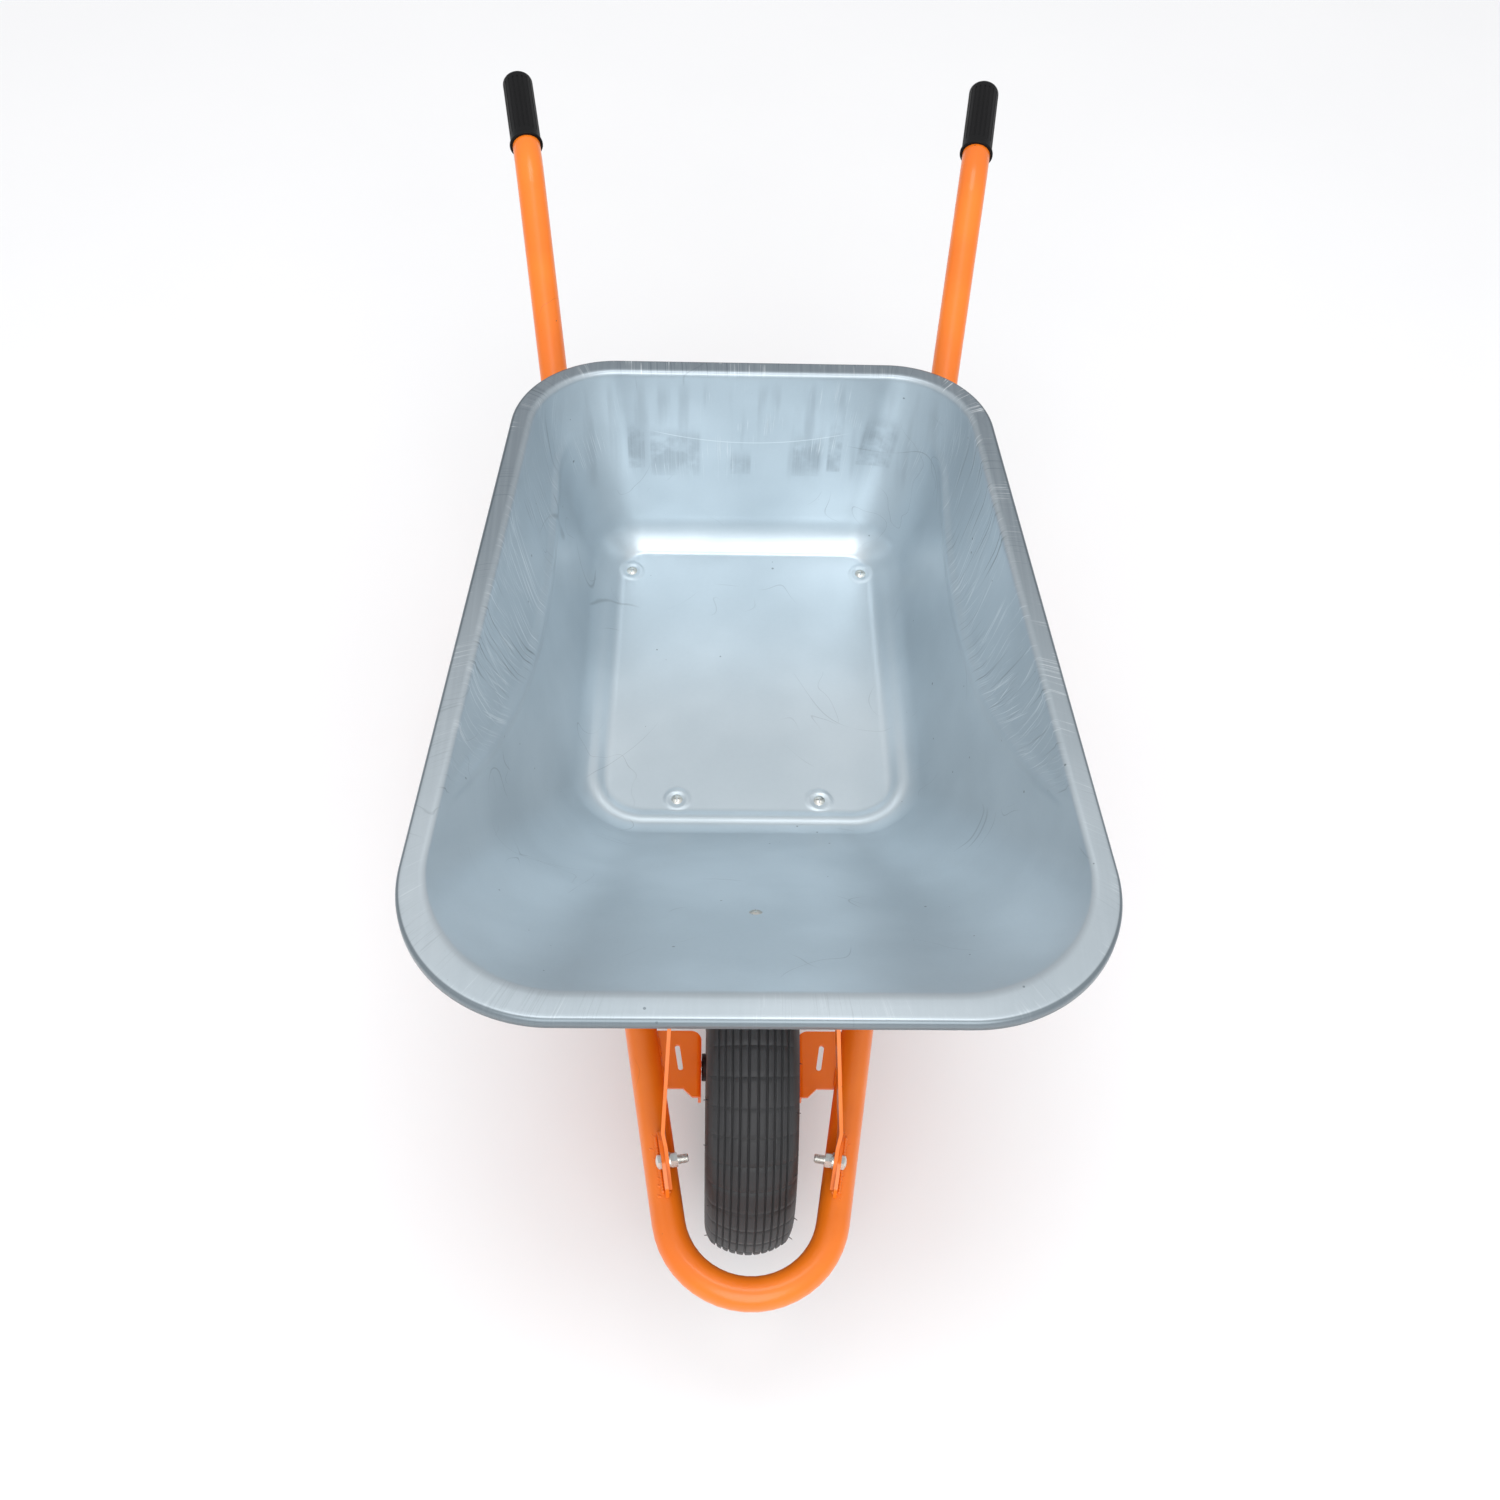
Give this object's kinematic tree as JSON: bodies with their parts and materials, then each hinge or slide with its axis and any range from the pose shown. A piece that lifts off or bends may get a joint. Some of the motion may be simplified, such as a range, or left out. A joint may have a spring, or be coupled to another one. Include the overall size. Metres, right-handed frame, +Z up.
{
  "type": "wheelbarrow",
  "caption": "Single-wheel builder's barrow: a flared pressed steel tray bolted to one bent tube that runs from grip to grip round the front of a ribbed pneumatic wheel.",
  "frame": {"origin": "on the ground under the middle of the whole barrow's box", "axes": "+Z up, +Y from the wheel towards the grips, +X to the right of someone who faces the grips from the nose"},
  "size_m": [0.6118, 1.3478, 0.6018],
  "materials": {
    "galvanised_sheet": "bright galvanised pressed sheet, satin, fine scratches and smudges",
    "orange_paint": "glossy orange enamel over steel",
    "zinc_fasteners": "zinc plated",
    "grip_rubber": "satin black fluted rubber",
    "tyre_rubber": "ribbed black rubber, a little dusty low down",
    "tube_rubber": "smooth butyl rubber",
    "bearing_steel": "ground and polished steel",
    "black_plastic": "moulded black plastic"
  },
  "bodies": {
    "barrow": {"frame_tube": "orange_paint", "front_cross_plate": "orange_paint", "rear_cross_strap": "orange_paint", "leg_brace": "orange_paint", "leg_right": "orange_paint", "leg_left": "orange_paint", "axle_bracket_right": "orange_paint", "axle_bracket_left": "orange_paint", "strut_tab_right": "orange_paint", "strut_tab_left": "orange_paint", "front_strap": "orange_paint", "leg_bolts": "zinc_fasteners", "leg_nuts": "zinc_fasteners", "leg_washers": "zinc_fasteners", "strap_bolts": "zinc_fasteners", "strap_nuts": "zinc_fasteners", "strap_washers": "zinc_fasteners", "floor_screws_front": "zinc_fasteners", "floor_washers_front": "zinc_fasteners", "floor_nuts_front": "zinc_fasteners", "floor_screws_rear": "zinc_fasteners", "floor_washers_rear": "zinc_fasteners", "floor_nuts_rear": "zinc_fasteners", "slope_screw": "zinc_fasteners", "slope_washer": "zinc_fasteners", "slope_nut": "zinc_fasteners", "axle_bolt": "zinc_fasteners", "axle_nut": "zinc_fasteners", "axle_washers": "zinc_fasteners", "foot_plate_right": "orange_paint", "foot_plate_left": "orange_paint", "tray": "galvanised_sheet", "grip_right": "grip_rubber", "grip_left": "grip_rubber", "axle_sleeve": "bearing_steel", "bearing_inner_ring_right": "bearing_steel", "bearing_inner_ring_left": "bearing_steel"},
    "wheel": {"tyre": "tyre_rubber", "inner_tube": "tube_rubber", "valve_stem": "tube_rubber", "valve_cap": "black_plastic", "rim_half_right": "orange_paint", "rim_half_left": "orange_paint", "rim_bolts": "zinc_fasteners", "rim_nuts": "zinc_fasteners", "hub_tube": "orange_paint", "bearing_outer_ring_right": "bearing_steel", "bearing_outer_ring_left": "bearing_steel", "bearing_balls_right": "bearing_steel", "bearing_balls_left": "bearing_steel", "dust_cap_right": "black_plastic", "dust_cap_left": "black_plastic"}
  },
  "joints": [
    {"name": "wheel_spin", "type": "hinge", "parent": "barrow", "child": "wheel", "pos_m": [0, -0.417, 0.184], "axis": [1, 0, 0], "continuous": true}
  ]
}
